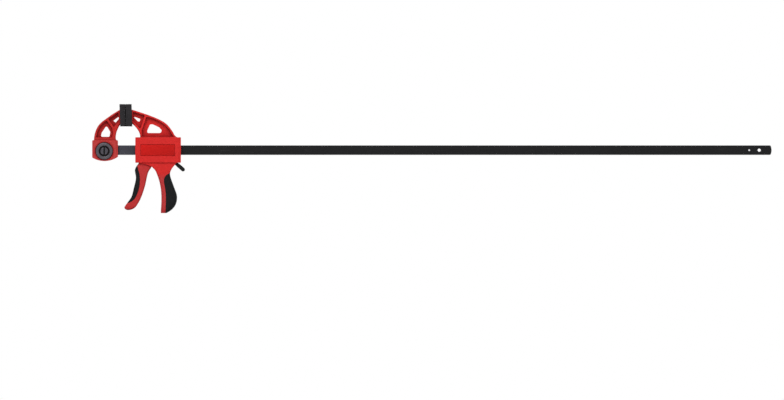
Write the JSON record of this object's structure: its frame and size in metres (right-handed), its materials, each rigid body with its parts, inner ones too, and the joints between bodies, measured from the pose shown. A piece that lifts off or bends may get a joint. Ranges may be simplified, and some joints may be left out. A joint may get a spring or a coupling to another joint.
{
  "type": "quick release bar clamp",
  "caption": "One-handed bar clamp with truss jaws, a pistol grip with a squeeze trigger, a release lever and a long flat bar.",
  "frame": {"origin": "centre of the closed gripping faces of the two pads, halfway across the clamp", "axes": "+X along the bar to its free end, +Z from the bar up to the pads, +Y across, away from the side with the jaw button and the label recess"},
  "size_m": [1.4267, 0.032, 0.2288],
  "materials": {
    "bar_steel": "black oxide, satin",
    "bright_steel": "plain ground steel",
    "spring_steel": "drawn wire",
    "red_plastic": "glass-filled moulding, fine grain",
    "black_rubber": "matt soft moulding",
    "grey_plastic": "satin moulding",
    "black_plastic": "satin moulding"
  },
  "bodies": {
    "bar_and_fixed_jaw": {"bar": "bar_steel", "bar_stop_pin": "bright_steel", "fixed_jaw": "red_plastic", "fixed_jaw_pad": "black_rubber", "jaw_button_collar": "grey_plastic", "jaw_button_spring": "spring_steel"},
    "head": {"head_shell_front": "red_plastic", "head_shell_rear": "red_plastic", "shell_screws": "bright_steel", "moving_jaw_pad": "black_rubber", "grip_cover": "black_rubber", "trigger_pivot_pin": "bright_steel", "release_lever_pin": "bright_steel", "drive_spring": "spring_steel", "brake_spring": "spring_steel"},
    "squeeze_trigger": {"trigger": "red_plastic", "trigger_cover": "black_rubber"},
    "drive": {"drive_plates": "bright_steel"},
    "brake": {"brake_plate": "bright_steel"},
    "release": {"release_lever": "black_plastic"},
    "button": {"jaw_button": "grey_plastic", "jaw_button_clip": "bright_steel"}
  },
  "joints": [
    {"name": "head_slide", "type": "slide", "parent": "bar_and_fixed_jaw", "child": "head", "axis": [1, 0, 0], "range_m": [0, 1.191]},
    {"name": "trigger_squeeze", "type": "hinge", "parent": "head", "child": "squeeze_trigger", "pos_m": [0.045, 0, -0.0565], "axis": [0, -1, 0], "range_deg": [0, 14], "stiffness_Nm_per_rad": 1, "springref_deg": -6.88},
    {"name": "plates_drive", "type": "slide", "parent": "head", "child": "drive", "axis": [1, 0, 0], "range_m": [0, 0.00409], "deforming": ["drive_spring"]},
    {"name": "release_press", "type": "hinge", "parent": "head", "child": "release", "pos_m": [0.1055, 0, -0.0955], "axis": [0, 1, 0], "range_deg": [0, 12], "stiffness_Nm_per_rad": 0.3, "springref_deg": -8.59},
    {"name": "brake_straighten", "type": "hinge", "parent": "head", "child": "brake", "pos_m": [0.0986, 0, -0.0555], "axis": [0, -1, 0], "range_deg": [0, 3.31], "deforming": ["brake_spring"]},
    {"name": "button_press", "type": "slide", "parent": "bar_and_fixed_jaw", "child": "button", "axis": [0, 1, 0], "range_m": [0, 0.0036], "stiffness_N_per_m": 600, "springref_m": -0.002, "deforming": ["jaw_button_spring"]}
  ],
  "couplings": [
    {"joint": "plates_drive", "follows": "trigger_squeeze", "m_per_rad": 0.0167},
    {"joint": "brake_straighten", "follows": "release_press", "ratio": 0.275}
  ]
}
